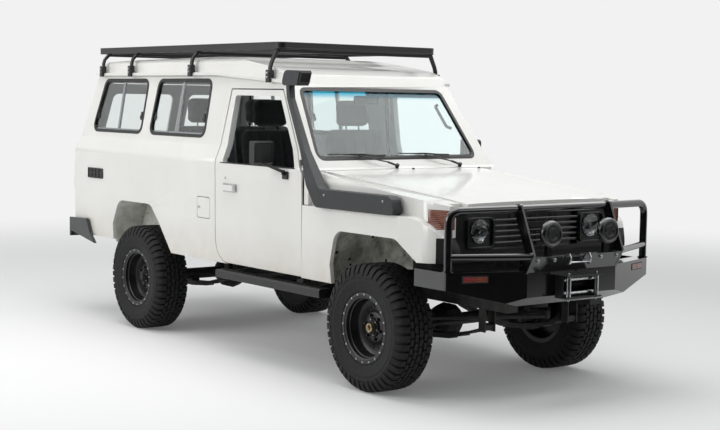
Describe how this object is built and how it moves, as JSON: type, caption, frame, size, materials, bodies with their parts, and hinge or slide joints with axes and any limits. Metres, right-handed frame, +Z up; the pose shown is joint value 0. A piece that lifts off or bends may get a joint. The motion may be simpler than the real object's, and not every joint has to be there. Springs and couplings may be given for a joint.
{
  "type": "off-road vehicle",
  "caption": "Lifted high-roof off-road 4x4 with bull bar, snorkel, full-length roof rack and side steps; its wheels, steering, doors, bonnet and fuel flap move.",
  "frame": {"origin": "on the ground at the middle of the overall length, on the centre line", "axes": "+X forward, +Y to the vehicle's left, +Z up"},
  "size_m": [5.245, 2.06, 2.241],
  "materials": {
    "white_paint": "gloss",
    "black_coat": "satin",
    "tyre_rubber": "matte",
    "seal_rubber": "matte",
    "window_glass": "gloss",
    "lamp_glass": "gloss",
    "black_plastic": "matte",
    "seat_fabric": "matte",
    "chassis_black": "satin",
    "cast_metal": "matte",
    "bare_steel": "satin"
  },
  "bodies": {
    "chassis": {"body_shell": "white_paint", "roof": "white_paint", "wing_left": "white_paint", "wing_right": "white_paint", "nose_panel": "white_paint", "bull_bar": "black_coat", "roof_rack": "black_coat", "rear_bumper": "black_coat", "side_steps": "black_coat", "window_seals": "seal_rubber", "fixed_glass": "window_glass", "lamps": "lamp_glass", "driving_lamps": "lamp_glass", "snorkel": "black_plastic", "grille": "black_plastic", "dashboard": "black_plastic", "fuel_tank": "black_plastic", "front_seats": "seat_fabric", "rear_seats": "seat_fabric", "frame_rails": "chassis_black", "suspension": "chassis_black", "propshafts": "chassis_black", "steering_gear": "chassis_black", "front_axle": "cast_metal", "rear_axle": "cast_metal", "engine": "cast_metal", "exhaust": "bare_steel", "fairlead": "bare_steel"},
    "bonnet": {"bonnet": "white_paint"},
    "door_right": {"door_right": "white_paint", "mirror_right": "black_plastic"},
    "door_left": {"door_left": "white_paint", "mirror_left": "black_plastic"},
    "rear_door_right": {"rear_door_right": "white_paint", "rear_glass_right": "window_glass"},
    "rear_door_left": {"rear_door_left": "white_paint", "rear_glass_left": "window_glass"},
    "fuel_flap": {"fuel_flap": "white_paint"},
    "knuckle_right": {"knuckle_right": "cast_metal"},
    "knuckle_left": {"knuckle_left": "cast_metal"},
    "tie_rod": {"tie_rod": "chassis_black"},
    "drag_link": {"drag_link": "chassis_black"},
    "pitman_arm": {"pitman_arm": "chassis_black"},
    "steering_wheel": {"steering_wheel": "black_plastic"},
    "wheel_front_right": {"tyre_front_right": "tyre_rubber", "rim_front_right": "black_coat"},
    "wheel_front_left": {"tyre_front_left": "tyre_rubber", "rim_front_left": "black_coat"},
    "wheel_rear_right": {"tyre_rear_right": "tyre_rubber", "rim_rear_right": "black_coat"},
    "wheel_rear_left": {"tyre_rear_left": "tyre_rubber", "rim_rear_left": "black_coat"}
  },
  "joints": [
    {"name": "steer_right", "type": "hinge", "parent": "chassis", "child": "knuckle_right", "pos_m": [1.5725, -0.575, 0.41], "axis": [0, 0, 1], "range_deg": [-30, 30]},
    {"name": "steer_left", "type": "hinge", "parent": "chassis", "child": "knuckle_left", "pos_m": [1.5725, 0.575, 0.41], "axis": [0, 0, 1], "range_deg": [-30, 30]},
    {"name": "tie_rod_joint", "type": "hinge", "parent": "knuckle_right", "child": "tie_rod", "pos_m": [1.7375, -0.575, 0.4227], "axis": [0, 0, 1], "range_deg": [-30, 30]},
    {"name": "drag_link_joint", "type": "hinge", "parent": "knuckle_right", "child": "drag_link", "pos_m": [1.7375, -0.575, 0.4713], "axis": [0, 0, 1], "range_deg": [-30, 30]},
    {"name": "pitman_joint", "type": "hinge", "parent": "chassis", "child": "pitman_arm", "pos_m": [1.9325, 0.207, 0.5], "axis": [0, 0, 1], "range_deg": [-30, 30]},
    {"name": "steering_wheel_joint", "type": "hinge", "parent": "chassis", "child": "steering_wheel", "pos_m": [0.4775, 0.38, 1.262], "axis": [-0.9272, 0, 0.3746], "range_deg": [-450, 450]},
    {"name": "wheel_spin_front_right", "type": "hinge", "parent": "knuckle_right", "child": "wheel_front_right", "pos_m": [1.5725, -0.765, 0.41], "axis": [0, 1, 0], "continuous": true},
    {"name": "wheel_spin_front_left", "type": "hinge", "parent": "knuckle_left", "child": "wheel_front_left", "pos_m": [1.5725, 0.765, 0.41], "axis": [0, 1, 0], "continuous": true},
    {"name": "wheel_spin_rear_right", "type": "hinge", "parent": "chassis", "child": "wheel_rear_right", "pos_m": [-1.4075, -0.765, 0.41], "axis": [0, 1, 0], "continuous": true},
    {"name": "wheel_spin_rear_left", "type": "hinge", "parent": "chassis", "child": "wheel_rear_left", "pos_m": [-1.4075, 0.765, 0.41], "axis": [0, 1, 0], "continuous": true},
    {"name": "door_right_hinge", "type": "hinge", "parent": "chassis", "child": "door_right", "pos_m": [0.7625, -0.815, 1.04], "axis": [0, 0, 1], "range_deg": [0, 65]},
    {"name": "door_left_hinge", "type": "hinge", "parent": "chassis", "child": "door_left", "pos_m": [0.7625, 0.815, 1.04], "axis": [0, 0, -1], "range_deg": [0, 65]},
    {"name": "rear_door_right_hinge", "type": "hinge", "parent": "chassis", "child": "rear_door_right", "pos_m": [-2.6125, -0.705, 1.17], "axis": [0, 0, 1], "range_deg": [0, 100]},
    {"name": "rear_door_left_hinge", "type": "hinge", "parent": "chassis", "child": "rear_door_left", "pos_m": [-2.6125, 0.705, 1.17], "axis": [0, 0, -1], "range_deg": [0, 100]},
    {"name": "bonnet_hinge", "type": "hinge", "parent": "chassis", "child": "bonnet", "pos_m": [0.9105, 0, 1.347], "axis": [0, -1, 0], "range_deg": [0, 50]},
    {"name": "fuel_flap_hinge", "type": "hinge", "parent": "chassis", "child": "fuel_flap", "pos_m": [-0.3765, -0.836, 1.03], "axis": [0, 0, 1], "range_deg": [0, 90]}
  ],
  "couplings": [
    {"joint": "steer_left", "follows": "steer_right", "ratio": 1},
    {"joint": "tie_rod_joint", "follows": "steer_right", "ratio": -1},
    {"joint": "drag_link_joint", "follows": "steer_right", "ratio": -1},
    {"joint": "pitman_joint", "follows": "steer_right", "ratio": 1},
    {"joint": "steering_wheel_joint", "follows": "steer_right", "ratio": 15}
  ]
}
